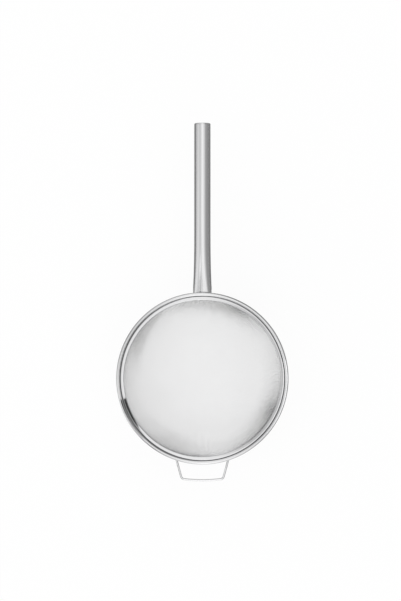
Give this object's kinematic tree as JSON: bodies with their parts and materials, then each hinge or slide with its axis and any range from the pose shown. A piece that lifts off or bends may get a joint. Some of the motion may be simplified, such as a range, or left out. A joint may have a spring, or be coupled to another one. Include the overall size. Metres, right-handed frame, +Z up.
{
  "type": "soup strainer",
  "caption": "Round woven-wire soup strainer: flat-floored bowl in a beaded steel rim, straight tube handle on one side and a small bent-wire rest opposite.",
  "frame": {"origin": "centre of the flat underside of the bowl's floor", "axes": "+Z up out of the bowl's mouth, +Y along the handle from the bowl to its free end, +X to the right seen from above with the handle up"},
  "size_m": [0.2, 0.418, 0.08],
  "materials": {
    "rim_steel": "polished stainless steel",
    "wire_steel": "bright drawn stainless wire",
    "woven_steel": "fine plain-woven stainless wire cloth",
    "handle_steel": "satin stainless tube",
    "weld_steel": "pickled weld metal"
  },
  "bodies": {
    "root": {"rim_band": "rim_steel", "bead_wire": "wire_steel", "clamp_ring": "rim_steel", "mesh_bowl": "woven_steel", "handle_tube": "handle_steel", "handle_end_cap": "handle_steel", "handle_weld": "weld_steel", "rest_wire": "wire_steel", "rest_weld_left": "weld_steel", "rest_weld_right": "weld_steel"}
  },
  "joints": []
}
